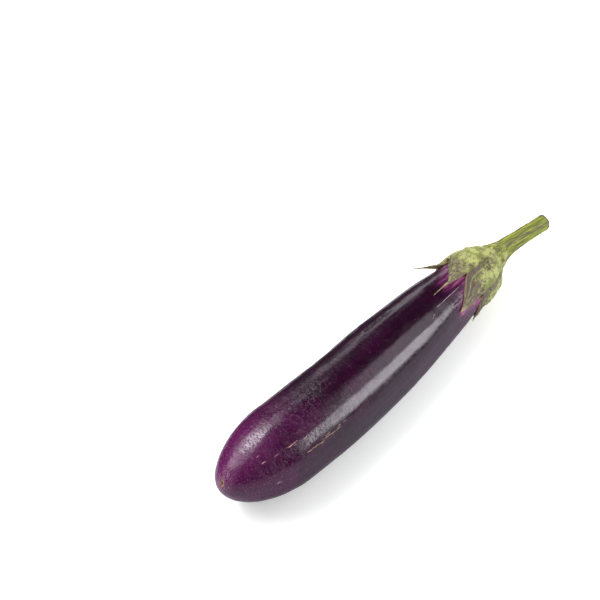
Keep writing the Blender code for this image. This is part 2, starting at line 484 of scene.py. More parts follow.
def cap_surface(station, angle, along, across, number):
    """Outer and inner radius of the cap. Outside is the power sum of a plump dome and the stem's
    root, with a bell for each midrib and valley. Lobes thin to their tips and sides, and lift off
    the skin by their own amount. Inside is the fruit's skin plus a small clearance and the lift."""
    blade, lift_height = LOBES[number][4], LOBES[number][7]
    up = np.clip((station - CAP_DOME_START) / CAP_DOME_LENGTH, 0, 1)
    dome = CAP_DOME_RADIUS * np.maximum(1 - up**CAP_DOME_POWER, 0) ** 0.5
    skin = fruit_radius(np.clip(station, 0, FRUIT_LENGTH))
    onto_fruit = smooth_step(*CAP_ONTO_FRUIT, station)
    dome = dome * (1 - onto_fruit) + (skin + CAP_RIM_THICKNESS + CAP_RIM_LIFT) * onto_fruit
    root = stem_radius(station, angle) * CAP_ROOT_SHARE
    outer = (dome**CAP_JOIN_POWER + root**CAP_JOIN_POWER) ** (1 / CAP_JOIN_POWER)
    off_middle = 2 * across - 1
    body = smooth_step(*CAP_RIB_FADE, station)
    midrib = MIDRIB_HEIGHT * body * swell(off_middle, 0, MIDRIB_WIDTH) * (1 - 0.6 * along)
    valley = -VALLEY_DEPTH * body * swell(np.abs(off_middle), 1, VALLEY_WIDTH) * (along <= 0)
    lift = lift_height * np.clip((along - LIFT_START) / (1 - LIFT_START), 0, 1) ** LIFT_POWER
    edge = np.sqrt(np.clip(1 - np.abs(off_middle) ** 8, 0, 1))
    onto_tail = smooth_step(blade * 0.5, blade * 1.15, along)
    thin = (1 - LOBE_THINNING * along) * (1 - TAIL_THINNING * onto_tail)
    inner = np.minimum(skin + CAP_CLEARANCE, outer - LEAST_WALL) + lift
    inner = np.maximum(inner, LEAST_HOLLOW)
    plump = np.maximum(outer + lift + midrib + valley - inner, LEAST_FLESH)
    onto_lobe = smooth_step(0.0, LOBE_ROUNDING, along)
    rounded = (CAP_SIDE_SHARE + (1 - CAP_SIDE_SHARE) * edge) * thin
    return inner + plump * (1 - onto_lobe) + plump * onto_lobe * rounded, inner


def cap_rows(number):
    """One lobe's columns, all the way: body rows from the stem down to the notch line, then
    the lobe's own rows. Returns station, angle, along and across."""
    angle, station, along = lobe_grid(number, CAP_LOBE_ROWS + 1)
    down = np.linspace(0, 1, CAP_BODY_ROWS)[:, None]
    body_station = CAP_TOP + (station[:1] - CAP_TOP) * down
    body_angle = np.repeat(angle[:1], CAP_BODY_ROWS, axis=0)
    across = np.linspace(0, 1, CAP_COLUMNS + 1)[None, :]
    rows = CAP_BODY_ROWS + CAP_LOBE_ROWS
    return (
        np.concatenate([body_station, station[1:]]),
        np.concatenate([body_angle, angle[1:]]),
        np.concatenate([np.zeros_like(body_station), along[1:]]),
        np.broadcast_to(across, (rows, CAP_COLUMNS + 1)),
    )


def make_cap(material):
    """Six lobes, each a tile of an outer and an inner grid with walls at the free edges. Above
    the notches, a lobe's last column is replaced by the next lobe's first, so the cap closes."""
    points, faces, straight_all, lobe_all = [], [], [], []
    rows, columns = CAP_BODY_ROWS + CAP_LOBE_ROWS, CAP_COLUMNS + 1
    size = rows * columns
    free = CAP_BODY_ROWS - 1
    for number in range(len(LOBES)):
        station, angle, along, across = cap_rows(number)
        outer, inner = cap_surface(station, angle, along, across, number)
        rough = relief(straightened(station, angle, outer), CAP_LAYERS)
        outer = outer + rough * smooth_step(CAP_TOP, CAP_TOP - CAP_SMOOTH_TOP, station)
        tail = smooth_step(LOBES[number][4] * 0.8, LOBES[number][4] * 1.1, along)
        for radius in (outer, inner):
            points.append(around_axis(station, angle, radius).reshape(-1, 3))
            straight_all.append(straightened(station, angle, radius).reshape(-1, 3))
            lobe_all.append(np.stack([along, across, tail], axis=-1).reshape(-1, 3))
        skin = np.arange(size).reshape(rows, columns) + number * 2 * size
        lining = skin + size
        faces.append(quads(skin))
        faces.append(quads(lining)[:, ::-1])
        faces.append(quads(np.stack([lining[free:, 0], skin[free:, 0]])))
        faces.append(quads(np.stack([skin[free:, -1], lining[free:, -1]])))
        faces.append(quads(np.stack([skin[-1], lining[-1]])))
        faces.append(quads(np.stack([lining[0], skin[0]])))
    same = np.arange(len(LOBES) * 2 * size)
    for number in range(len(LOBES)):
        after = (number + 1) % len(LOBES) * 2 * size
        for layer in (0, size):
            body = np.arange(CAP_BODY_ROWS) * columns + layer
            same[number * 2 * size + body + columns - 1] = after + body
    kept, merged = np.unique(same, return_inverse=True)
    faces = merged.reshape(-1)[np.concatenate(faces)]
    cap = new_piece("cap", np.concatenate(points)[kept], faces.tolist(), material)
    store_vector(cap, "straight", np.concatenate(straight_all)[kept])
    store_vector(cap, "lobe", np.concatenate(lobe_all)[kept])
    return cap


# ---------------------------------------------------------------- stem and its cut face


def make_stem(material):
    """A ribbed rod from inside the cap to its cut end, rounded over the cut's edge by a quarter
    circle, with layers of waves for its grain."""
    shoulder = CUT_STATION - STEM_TIP_ROUND
    shaft = np.linspace(STEM_FOOT, shoulder, STEM_RINGS - STEM_EDGE_RINGS)
    quarter = np.linspace(0, math.pi / 2, STEM_EDGE_RINGS + 1)[1:]
    station = np.concatenate([shaft, shoulder + STEM_TIP_ROUND * np.sin(quarter)])[:, None]
    angle = np.linspace(0, math.tau, STEM_AROUND, endpoint=False)[None, :]
    over = np.clip((station - shoulder) / STEM_TIP_ROUND, 0, 1)
    radius = stem_radius(station, angle) - STEM_TIP_ROUND * (1 - np.sqrt(1 - over**2))
    radius = radius + relief(straightened(station, angle, radius), STEM_LAYERS)
    grid = around_axis(station, angle, radius)
    faces = closed_tube_faces(STEM_RINGS, STEM_AROUND)
    stem = new_piece("stalk", with_poles(grid), faces, material)
    store_vector(stem, "straight", with_poles(straightened(station, angle, radius)))
    rib = np.abs(np.cos(rib_turn(station, angle) / 2))
    store_number(stem, "rib", with_poles(rib[..., None]))
    return stem


def make_cut_face(material):
    """A shallow dish over the stem's cut: the stem's own outline shrunk towards the middle, raised
    inside its edge, lowered by a bell at its middle, and roughened by waves."""
    share = np.linspace(1, 0, CUT_RINGS + 1)[:-1, None]
    angle = np.linspace(0, math.tau, STEM_AROUND, endpoint=False)[None, :]
    outline = stem_radius(np.full((1, 1), CUT_STATION), angle) - STEM_TIP_ROUND - CUT_INSET
    radius = outline * share
    rise = CUT_BULGE * share**0.5 * (1 - share) + CUT_CROWN * (1 - share)
    rise = rise - CUT_HOLLOW * swell(share, 0, CUT_HOLLOW_SHARE)
    spread = straightened(np.full_like(radius, CUT_STATION), angle, radius)
    station = CUT_STATION + rise + relief(spread, CUT_LAYERS) * (1 - share**6)
    front = around_axis(station, angle, radius)
    base = CUT_STATION - CUT_DEPTH
    grid = np.concatenate([around_axis(np.full((1, STEM_AROUND), base), angle, outline), front])
    faces = closed_tube_faces(CUT_RINGS + 1, STEM_AROUND)
    face = new_piece("stem_cut", with_poles(grid), faces, material)
    flat = np.concatenate([straightened(base, angle, outline), spread])
    store_vector(face, "straight", with_poles(flat))
    return face


# ---------------------------------------------------------------- materials


def node(tree, kind, inputs=None, **settings):
    """Adds a shader node. An input that is a socket is linked, and any other is its value."""
    made = tree.nodes.new(kind)
    for name, value in settings.items():
        setattr(made, name, value)
    for key, value in (inputs or {}).items():
        if isinstance(value, bpy.types.NodeSocket):
            tree.links.new(value, made.inputs[key])
        else:
            made.inputs[key].default_value = value
    return made


def maths(tree, operation, first, second=0.0, clamp=False):
    """The operation on two numbers, each a socket or a value. One operand leaves the second."""
    made = node(tree, "ShaderNodeMath", {0: first, 1: second}, operation=operation, use_clamp=clamp)
    return made.outputs[0]


def plus(tree, first, second):
    return maths(tree, "ADD", first, second)


def minus(tree, first, second):
    return maths(tree, "SUBTRACT", first, second)


def times(tree, first, second):
    return maths(tree, "MULTIPLY", first, second)


def apart(tree, first, second):
    """How far two numbers are apart: |first - second|."""
    return maths(tree, "ABSOLUTE", minus(tree, first, second))


def hypotenuse(tree, first, second):
    """sqrt(first^2 + second^2)."""
    squares = plus(tree, maths(tree, "POWER", first, 2.0), maths(tree, "POWER", second, 2.0))
    return maths(tree, "SQRT", squares)


def vector_maths(tree, operation, first, second):
    """The operation on two vectors, each a socket or a value."""
    made = node(tree, "ShaderNodeVectorMath", {0: first, 1: second}, operation=operation)
    return made.outputs[0]


def parts(tree, vector):
    """A vector's X, Y and Z."""
    return node(tree, "ShaderNodeSeparateXYZ", {"Vector": vector}).outputs


def ramp(tree, value, low, high, start=0.0, end=1.0):
    """Smooth change from start to end while the value goes from low to high."""
    inputs = {"Value": value, "From Min": low, "From Max": high, "To Min": start, "To Max": end}
    made = node(tree, "ShaderNodeMapRange", inputs, interpolation_type="SMOOTHSTEP")
    return made.outputs["Result"]


def blend(tree, share, under, over):
    """The color under, mixed with the color over by the share."""
    made = node(tree, "ShaderNodeMix", {0: share, 6: under, 7: over}, data_type="RGBA")
    return made.outputs[2]


def noise(tree, vector, scale, detail=2.0, roughness=0.5):
    """Smooth noise of about 0 to 1 at the vector. A higher scale makes it finer."""
    inputs = {"Vector": vector, "Scale": scale, "Detail": detail, "Roughness": roughness}
    return node(tree, "ShaderNodeTexNoise", inputs).outputs["Fac"]


def stretched(tree, vector, scale):
    """The vector times the scale, so a scale below 1 draws a pattern out along that way."""
    inputs = {"Vector": vector, "Scale": scale}
    return node(tree, "ShaderNodeMapping", inputs).outputs["Vector"]


def attribute(tree, name, output="Vector"):
    """A value stored on the piece's vertices, as a vector or as a number (Fac)."""
    made = node(tree, "ShaderNodeAttribute", attribute_name=name, attribute_type="GEOMETRY")
    return made.outputs[output]


def new_group(name, inputs, outputs):
    """An empty shader node group. Each input is (name, socket type, default)."""
    group = bpy.data.node_groups.new(name, "ShaderNodeTree")
    for label, kind, default in inputs:
        socket = group.interface.new_socket(label, in_out="INPUT", socket_type=kind)
        if default is not None:
            socket.default_value = default
    for label, kind in outputs:
        group.interface.new_socket(label, in_out="OUTPUT", socket_type=kind)
    source = group.nodes.new("NodeGroupInput")
    result = group.nodes.new("NodeGroupOutput")
    return group, source.outputs, result.inputs


def mask(tree, group, **inputs):
    """The mask of a group placed in a material with its own values, given by input name."""
    return node(tree, "ShaderNodeGroup", inputs, node_tree=group).outputs["Mask"]


NUMBER, VECTOR = "NodeSocketFloat", "NodeSocketVector"


def speckle_group():
    """Small flecks of uneven size, strength and outline: the cores of some Voronoi cells, in a
    space that a finer noise pushes about."""
    group, inside, out = new_group(
        "speckles",
        [("Vector", VECTOR, None), ("Scale", NUMBER, 500.0), ("Size", NUMBER, 0.2), ("Share", NUMBER, 0.5)],
        [("Mask", NUMBER)],
    )
    finer = times(group, inside["Scale"], 2.2)
    push = node(group, "ShaderNodeTexNoise", {"Vector": inside["Vector"], "Scale": finer, "Detail": 2.0})
    push = vector_maths(group, "SUBTRACT", push.outputs["Color"], (0.5, 0.5, 0.5))
    amount = maths(group, "DIVIDE", 1.1, inside["Scale"])
    push = node(group, "ShaderNodeVectorMath", {0: push, "Scale": amount}, operation="SCALE")
    place = vector_maths(group, "ADD", inside["Vector"], push.outputs[0])
    cell = node(group, "ShaderNodeTexVoronoi", {"Vector": place, "Scale": inside["Scale"]})
    picked = node(group, "ShaderNodeSeparateColor", {"Color": cell.outputs["Color"]}).outputs
    size = times(group, picked["Green"], inside["Size"])
    core = ramp(group, cell.outputs["Distance"], size, 0.0)
    chosen = maths(group, "LESS_THAN", picked["Red"], inside["Share"])
    strength = times(group, chosen, plus(group, 0.25, picked["Blue"]))
    group.links.new(times(group, core, strength), out["Mask"])
    return group


MARK_END = 0.0015


def long_mark_group():
    """A thin broken line along the fruit: 1 on a wandering arc between two stations and fading
    over the width and the two ends, times a drawn-out noise cut at a level for its gaps."""
    group, inside, out = new_group(
        "long_mark",
        [
            ("Layout", VECTOR, None),
            ("Start", NUMBER, 0.0),
            ("End", NUMBER, 0.1),
            ("Degrees", NUMBER, 0.0),
            ("Width", NUMBER, 0.0005),
            ("Wander", NUMBER, 0.001),
            ("Gaps", NUMBER, 0.4),
        ],
        [("Mask", NUMBER)],
    )
    place = parts(group, inside["Layout"])
    rough = noise(group, stretched(group, inside["Layout"], (1.0, 0.2, 1.0)), 260.0, 3.0)
    sway = times(group, minus(group, rough, 0.5), inside["Wander"])
    centre = times(group, inside["Degrees"], math.radians(1) * BELLY_RADIUS)
    off_line = maths(group, "ABSOLUTE", plus(group, minus(group, place["Y"], centre), sway))
    across = ramp(group, off_line, inside["Width"], 0.0)
    begun = minus(group, place["X"], inside["Start"])
    ended = minus(group, inside["End"], place["X"])
    along = times(group, ramp(group, begun, 0.0, MARK_END), ramp(group, ended, 0.0, MARK_END))
    gaps = noise(group, stretched(group, inside["Layout"], (0.40, 1.0, 1.0)), 700.0, 3.0, 0.65)
    broken = ramp(group, gaps, inside["Gaps"], 0.60)
    group.links.new(times(group, times(group, across, along), broken), out["Mask"])
    return group


def near_point_group():
    """1 at a point, fading smoothly to 0 at the reach, with the distance divided by the stretch."""
    group, inside, out = new_group(
        "near_point",
        [
            ("Vector", VECTOR, None),
            ("Point", VECTOR, (0.0, 0.0, 0.0)),
            ("Reach", NUMBER, 0.005),
            ("Stretch", VECTOR, (1.0, 1.0, 1.0)),
        ],
        [("Mask", NUMBER)],
    )
    away = vector_maths(group, "SUBTRACT", inside["Vector"], inside["Point"])
    squeezed = vector_maths(group, "DIVIDE", away, inside["Stretch"])
    length = node(group, "ShaderNodeVectorMath", {0: squeezed}, operation="LENGTH")
    group.links.new(ramp(group, length.outputs["Value"], inside["Reach"], 0.0), out["Mask"])
    return group


def blotch_group():
    """Patches with a ragged edge: a broad noise pushed about by a fine one, cut at a level."""
    group, inside, out = new_group(
        "blotches",
        [
            ("Vector", VECTOR, None),
            ("Scale", NUMBER, 120.0),
            ("Level", NUMBER, 0.5),
            ("Softness", NUMBER, 0.08),
            ("Grain", NUMBER, 0.5),
        ],
        [("Mask", NUMBER)],
    )
    broad = noise(group, inside["Vector"], inside["Scale"], 5.0, 0.68)
    grain_scale = times(group, inside["Scale"], 6.5)
    grain = minus(group, noise(group, inside["Vector"], grain_scale, 3.0, 0.7), 0.5)
    level = plus(group, broad, times(group, grain, inside["Grain"]))
    high = plus(group, inside["Level"], inside["Softness"])
    group.links.new(ramp(group, level, inside["Level"], high), out["Mask"])
    return group


def new_material(name):
    """A node material, its tree and its Principled shader."""
    material = bpy.data.materials.new(name)
    material.use_nodes = True
    tree = material.node_tree
    return material, tree, tree.nodes["Principled BSDF"]


def set_bump(tree, shader, height):
    """The height is in metres, so the bump's own distance is one."""
    bump = node(tree, "ShaderNodeBump", {"Strength": 1.0, "Distance": 1.0, "Height": height})
    tree.links.new(bump.outputs["Normal"], shader.inputs["Normal"])


# ---- skin

AUBERGINE = (0.0100, 0.0008, 0.0072, 1)
MAGENTA = (0.0860, 0.0035, 0.0590, 1)
PINK = (0.150, 0.026, 0.105, 1)
ROSE = (0.330, 0.090, 0.190, 1)
PALE_PINK = (0.420, 0.200, 0.330, 1)
CORK = (0.340, 0.190, 0.090, 1)
RUST = (0.170, 0.055, 0.042, 1)
THREAD = (0.560, 0.340, 0.440, 1)
CREAM = (0.560, 0.340, 0.260, 1)
PALE_CREAM = (0.600, 0.380, 0.400, 1)
DARK_CORK = (0.050, 0.025, 0.015, 1)
# Near-black of the split lines: painted shade in their recess.
SPLIT_SHADE = (0.006, 0.002, 0.005, 1)

# Where a change runs along the fruit: (station where it starts, station where it is complete).
MAGENTA_SPAN = (0.066, 0.002)
SPECKLE_SPAN = (0.130, 0.0)
DUST_SPAN = (0.075, 0.0)
FLECK_SPAN = (0.046, 0.020)
WRINKLE_SPAN = (0.12, 0.03)
CREASE_SPAN = (0.078, 0.044)
SCAR_SPAN = (0.024, 0.010)

# Where a change runs round the fruit: (where it starts, where it is complete), as lengths round the
# belly from the front.
# The magenta arc holds magenta back on the lower front flank: partly the skin's own tone, partly painted
# shade there.
MAGENTA_SHADE_ARC = (0.009, 0.027)
PINK_ARC = (0.021, 0.009)

# The scar's rings, as distances from its middle: (outside, inside).
HALO_REACH = (0.0130, 0.0020)
CORK_REACH = (0.0030, 0.0014)
EYE_REACH = (0.0014, 0.0006)
SCAR_RAGGEDNESS = 0.0042

# Least and most heights of the fine relief.
WRINKLE_HEIGHTS = (0.000035, 0.000090)
CREASE_HEIGHTS = (0.000010, 0.000060)
PEEL_HEIGHT = 0.000035
MARK_HEIGHT = 0.00008
SPLIT_DEPTH = 3.0

# Scratches, scars and splits: (start and end station, degrees round the fruit, half width, wander,
# gap level, color). The splits' near-black is painted shade in their recess.
MARKS = (
    (0.0370, 0.0610, 30.5, 0.00036, 0.0024, 0.30, CORK),
    (0.0440, 0.0660, 33.0, 0.00026, 0.0026, 0.46, CORK),
    (0.0400, 0.0560, 28.0, 0.00036, 0.0024, 0.45, DARK_CORK),
    (0.0285, 0.0370, 51.5, 0.00036, 0.0022, 0.38, CREAM),
    (0.0330, 0.0420, 49.0, 0.00026, 0.0022, 0.44, CREAM),
    (0.0222, 0.0256, 52.0, 0.00034, 0.0016, 0.36, PALE_PINK),
    (0.0160, 0.0192, 53.0, 0.00036, 0.0018, 0.36, PALE_CREAM),
    (0.0160, 0.0185, 66.0, 0.00034, 0.0016, 0.34, PALE_PINK),
    (0.1500, 0.1735, 62.8, 0.00019, 0.0005, 0.24, THREAD),
    (0.1425, 0.1452, 55.0, 0.00070, 0.0020, 0.38, RUST),
    (0.1445, 0.1470, 57.0, 0.00020, 0.0010, 0.20, THREAD),
    (0.0700, 0.0920, 205.0, 0.00040, 0.0020, 0.40, CORK),
    (0.0350, 0.0480, 150.0, 0.00038, 0.0014, 0.40, CREAM),
    (0.1150, 0.1330, -40.0, 0.00036, 0.0016, 0.42, CORK),
    (0.1090, 0.1220, 110.5, 0.00050, 0.0012, 0.30, SPLIT_SHADE),
    (0.1240, 0.1310, 108.5, 0.00034, 0.0010, 0.38, SPLIT_SHADE),
    (0.1605, 0.1695, 45.5, 0.00052, 0.0018, 0.12, SPLIT_SHADE),
)


def skin_ground(tree, straight, station, arc, fine):
    """Purple-black, mixed with magenta by nearness to the blossom end, with less magenta on the lower
    front flank as partly painted shade, plus drifts of broad, drawn out and fine noise; then pink and
    rose streaks where the cap is near, most on the sunny side."""
    blossom_and_shade = ramp(tree, station, *MAGENTA_SPAN)
    # Less magenta on the lower front flank: partly painted shade.
    blossom_and_shade = times(tree, blossom_and_shade, ramp(tree, arc, *MAGENTA_SHADE_ARC, 0.60, 1.0))
    clouds = noise(tree, straight, 42.0, 4.0, 0.6)
    drift = times(tree, minus(tree, clouds, 0.5), 0.9)
    magenta = plus(tree, times(tree, blossom_and_shade, 0.80), drift)
    streaks = noise(tree, stretched(tree, straight, (0.09, 1.0, 1.0)), 230.0, 4.0)
    magenta = plus(tree, magenta, times(tree, minus(tree, streaks, 0.5), 0.5))
    grainy = times(tree, minus(tree, fine, 0.5), 0.5)
    magenta = maths(tree, "ADD", magenta, grainy, clamp=True)
    color = blend(tree, magenta, AUBERGINE, MAGENTA)

    near_cap = attribute(tree, "near_cap", "Fac")
    sunny = ramp(tree, arc, *PINK_ARC, 0.65, 1.0)
    cap_streaks = noise(tree, stretched(tree, straight, (0.11, 1.0, 1.0)), 620.0, 4.0, 0.6)
    pink = ramp(tree, near_cap, 0.20, 1.0, 0.0, 0.95)
    pink = times(tree, pink, ramp(tree, cap_streaks, 0.40, 0.58, 0.35, 1.0))
    color = blend(tree, times(tree, pink, sunny), color, PINK)
    rosy = ramp(tree, near_cap, 0.45, 0.95, 0.0, 0.9)
    rosy = times(tree, rosy, ramp(tree, cap_streaks, 0.50, 0.62, 0.10, 1.0))
    return blend(tree, times(tree, rosy, sunny), color, ROSE)


def skin_speckles(tree, color, speckles, straight, station):
    """Faint dots and finer dust that grow denser towards the blossom end, and a few pale flecks
    close to it."""
    density = ramp(tree, station, *SPECKLE_SPAN, 0.12, 0.85)
    dots = mask(tree, speckles, Vector=straight, Scale=620.0, Size=0.34, Share=density)
    dust = mask(tree, speckles, Vector=straight, Scale=1500.0, Size=0.55, Share=density)
    dust = times(tree, dust, ramp(tree, station, *DUST_SPAN, 0.14, 0.45))
    color = blend(tree, maths(tree, "MAXIMUM", times(tree, dots, 0.22), dust), color, PALE_PINK)
    drawn_out = stretched(tree, straight, (0.6, 1.0, 1.0))
    flecks = mask(tree, speckles, Vector=drawn_out, Scale=330.0, Size=0.42, Share=0.07)
    flecks = times(tree, flecks, ramp(tree, station, *FLECK_SPAN, 0.0, 0.75))
    return blend(tree, flecks, color, PALE_CREAM)


def skin_marks(tree, color, long_mark, layout):
    """Every long mark laid over the color, and their height: the sum of the masks, with the splits
    counted below 0. The splits' near-black color is painted shade in their recess."""
    raised = 0.0
    for start, end, degrees, width, wander, gaps, tint in MARKS:
        line = mask(
            tree, long_mark, Layout=layout, Start=start, End=end, Degrees=degrees,
            Width=width, Wander=wander, Gaps=gaps,
        )
        color = blend(tree, line, color, tint)
        raised = plus(tree, raised, times(tree, line, -SPLIT_DEPTH if tint == SPLIT_SHADE else 1.0))
    return color, raised


def skin_scar(tree, color, straight, station, fine):
    """Rings round the scar's middle by ragged distance: a pale halo, a cork ring and a dark eye.
    Returns the color and the cork ring's mask."""
    place = parts(tree, straight)
    side = minus(tree, place["Y"], SCAR_OFF_AXIS * math.cos(SCAR_ANGLE))
    up = minus(tree, place["Z"], SCAR_OFF_AXIS * math.sin(SCAR_ANGLE))
    reach = hypotenuse(tree, times(tree, side, PIT_NARROWNESS), up)
    rough = noise(tree, straight, 900.0, 3.0, 0.65)
    reach = plus(tree, reach, times(tree, minus(tree, rough, 0.5), SCAR_RAGGEDNESS))
    at_end = ramp(tree, station, *SCAR_SPAN)
    halo = ramp(tree, reach, *HALO_REACH, 0.0, 0.34)
    halo = times(tree, halo, ramp(tree, fine, 0.42, 0.62, 0.1, 1.0))
    color = blend(tree, times(tree, halo, at_end), color, PALE_PINK)
    ring = times(tree, ramp(tree, reach, *CORK_REACH, 0.0, 0.80), at_end)
    ring = times(tree, ring, ramp(tree, fine, 0.36, 0.56, 0.35, 1.0))
    color = blend(tree, ring, color, CORK)
    eye = times(tree, ramp(tree, reach, *EYE_REACH), at_end)
    return blend(tree, eye, color, DARK_CORK), ring


def skin_height(tree, straight, station, peel, raised):
    """Crosswise wrinkles and peel added, thin creases along the middle level of a noise taken
    away, and the long marks added. Wrinkles and creases deepen towards the blossom end."""
    wrinkle = noise(tree, stretched(tree, straight, (2.2, 0.75, 0.75)), 480.0, 3.0, 0.6)
    height = times(tree, wrinkle, ramp(tree, station, *WRINKLE_SPAN, *WRINKLE_HEIGHTS))
    height = plus(tree, height, times(tree, peel, PEEL_HEIGHT))
    fold = noise(tree, stretched(tree, straight, (2.4, 0.8, 0.8)), 330.0, 3.0, 0.6)
    crease = ramp(tree, apart(tree, fold, 0.5), 0.035, 0.0)
    height = minus(tree, height, times(tree, crease, ramp(tree, station, *CREASE_SPAN, *CREASE_HEIGHTS)))
    return plus(tree, height, times(tree, raised, MARK_HEIGHT))


def skin_material(speckles, long_mark):
    """Waxy purple-black skin: magenta towards the blossom end, pink beside the cap, pale
    speckles, thin corky scratches and fine crosswise wrinkles. Marks and scar are dull."""
    material, tree, shader = new_material("waxy_skin")
    straight = attribute(tree, "straight")
    layout = attribute(tree, "layout")
    flat = parts(tree, layout)
    station, arc = flat["X"], flat["Y"]
    fine = noise(tree, straight, 1500.0, 2.0)
    peel = noise(tree, straight, 260.0, 3.0)
    color = skin_ground(tree, straight, station, arc, fine)
    color = skin_speckles(tree, color, speckles, straight, station)
    color, raised = skin_marks(tree, color, long_mark, layout)
    color, ring = skin_scar(tree, color, straight, station, fine)
    tree.links.new(color, shader.inputs["Base Color"])
    set_bump(tree, shader, skin_height(tree, straight, station, peel, raised))
    dull = times(tree, maths(tree, "ABSOLUTE", raised), 0.3)
    dull = plus(tree, dull, times(tree, ring, 0.4))
    shine = maths(tree, "ADD", ramp(tree, peel, 0.3, 0.7, 0.15, 0.24), dull, clamp=True)
    tree.links.new(shine, shader.inputs["Roughness"])
    shader.inputs["IOR"].default_value = 1.50
    return material


# ---- cap

LEAF = (0.160, 0.185, 0.034, 1)
LEAF_LIGHT = (0.385, 0.420, 0.128, 1)
LEAF_DARK = (0.072, 0.080, 0.019, 1)
LIME = (0.260, 0.360, 0.035, 1)
BRUISE = (0.100, 0.067, 0.066, 1)
BRUISE_DARK = (0.050, 0.022, 0.024, 1)
EDGE_TAN = (0.330, 0.265, 0.130, 1)

# The vein is across the lobe at this share, and the purple-brown spreads from its first station
# to the second. The scorched spot is (station, distance from the axis, degrees).
VEIN_ACROSS = 0.76
BRUISE_SPAN = (0.206, 0.178)
SCORCHED_SPOT = (0.2005, 0.0150, 58)
SCORCHED_REACH = 0.0066
CAP_FINE_HEIGHT = 0.00026
CAP_VEIN_HEIGHT = 0.00050
CAP_NET_DEPTH = 0.00040


def at_angle(station, radius, degrees):
    """A place on the unbent fruit, as the straight map stores it."""
    turn = math.radians(degrees)
    return station, radius * math.cos(turn), radius * math.sin(turn)


def cap_bruises(tree, color, blotches, straight, across):
    """Purple-brown blotches whose level falls towards the lobe tips and one side of each lobe,
    and smaller, darker ones inside them."""
    toward_tip = ramp(tree, parts(tree, straight)["X"], *BRUISE_SPAN)
    level = minus(tree, 0.668, times(tree, toward_tip, 0.235))
    level = minus(tree, level, ramp(tree, across, 0.50, 0.85, 0.0, 0.15))
    drawn_out = stretched(tree, straight, (0.55, 1.0, 1.0))
    patch = mask(
        tree, blotches, Vector=drawn_out, Scale=340.0, Level=level, Softness=0.06, Grain=1.25
    )
    color = blend(tree, times(tree, patch, 0.88), color, BRUISE)
    level = plus(tree, level, 0.03)
    deeper = mask(
        tree, blotches, Vector=drawn_out, Scale=700.0, Level=level, Softness=0.05, Grain=1.1
    )
    return blend(tree, times(tree, deeper, 0.62), color, BRUISE_DARK)


def cap_scorch(tree, color, blotches, near_point, straight):
    """One dark scorched spot with a ragged edge: nearness to its point times a blotch mask."""
    near = mask(
        tree, near_point, Vector=straight, Point=at_angle(*SCORCHED_SPOT), Reach=SCORCHED_REACH,
        Stretch=(1.5, 1.0, 1.0),
    )
    ragged = mask(
        tree, blotches, Vector=straight, Scale=620.0, Level=0.46, Softness=0.05, Grain=0.8
    )
    scorched = times(tree, ramp(tree, near, 0.05, 0.5), ragged)
    return blend(tree, times(tree, scorched, 0.9), color, BRUISE_DARK)


def cap_edges(tree, color, lobe):
    """Tan along the lobes' sides and tips, and on the thin tails."""
    side = times(
        tree, ramp(tree, apart(tree, lobe["Y"], 0.5), 0.46, 0.495), ramp(tree, lobe["X"], 0.0, 0.08)
    )
    edge = maths(tree, "MAXIMUM", side, ramp(tree, lobe["X"], 0.96, 1.0))
    color = blend(tree, times(tree, edge, 0.7), color, EDGE_TAN)
    return blend(tree, times(tree, lobe["Z"], 0.7), color, EDGE_TAN)


def cap_material(blotches, speckles, near_point):
    """Fleshy yellow-green, mottled purple-brown towards the lobe tips, tan along the edges."""
    material, tree, shader = new_material("cap_flesh")
    straight = attribute(tree, "straight")
    lobe = parts(tree, attribute(tree, "lobe"))
    veins = noise(tree, stretched(tree, straight, (0.22, 1.0, 1.0)), 800.0, 4.0, 0.6)
    broad = noise(tree, straight, 220.0, 3.0, 0.5)
    fine = noise(tree, straight, 2400.0, 3.0, 0.6)
    net = noise(tree, straight, 1150.0, 3.0, 0.65)
    color = blend(tree, ramp(tree, broad, 0.38, 0.60), LEAF, LEAF_LIGHT)
    color = blend(tree, ramp(tree, veins, 0.58, 0.72, 0.0, 0.5), color, LIME)
    color = blend(tree, ramp(tree, fine, 0.56, 0.74, 0.0, 0.55), color, LEAF_DARK)
    color = blend(tree, ramp(tree, net, 0.53, 0.66, 0.0, 0.62), color, LEAF_DARK)
    color = blend(tree, ramp(tree, net, 0.46, 0.34, 0.0, 0.60), color, LEAF_LIGHT)
    color = cap_bruises(tree, color, blotches, straight, lobe["Y"])
    vein = ramp(tree, apart(tree, lobe["Y"], VEIN_ACROSS), 0.045, 0.0)
    vein = times(tree, vein, ramp(tree, veins, 0.30, 0.55))
    color = blend(tree, times(tree, vein, 0.7), color, LIME)
    specks = mask(tree, speckles, Vector=straight, Scale=820.0, Size=0.62, Share=0.42)
    color = blend(tree, times(tree, specks, 0.9), color, BRUISE_DARK)
    color = cap_scorch(tree, color, blotches, near_point, straight)
    color = cap_edges(tree, color, lobe)
    tree.links.new(color, shader.inputs["Base Color"])
    height = times(tree, fine, CAP_FINE_HEIGHT)
    height = plus(tree, height, times(tree, veins, CAP_VEIN_HEIGHT))
    height = minus(tree, height, times(tree, net, CAP_NET_DEPTH))
    set_bump(tree, shader, height)
    tree.links.new(ramp(tree, fine, 0.3, 0.7, 0.36, 0.56), shader.inputs["Roughness"])
    shader.inputs["Specular IOR Level"].default_value = 0.42
    return material


# ---- stem and its cut face

STEM_GREEN = (0.082, 0.104, 0.008, 1)
STEM_LIGHT = (0.225, 0.262, 0.030, 1)
# Darker green: random dark fibre, and painted shade in the grooves between the ribs.
STEM_DARK_AND_SHADE = (0.070, 0.090, 0.012, 1)
RIM_SPAN = (CUT_STATION - 0.0016, CUT_STATION - 0.0002)
RIM_RAGGEDNESS = 0.0012
STEM_FINE_HEIGHT = 0.00012
FIBRE_HEIGHT = 0.00025


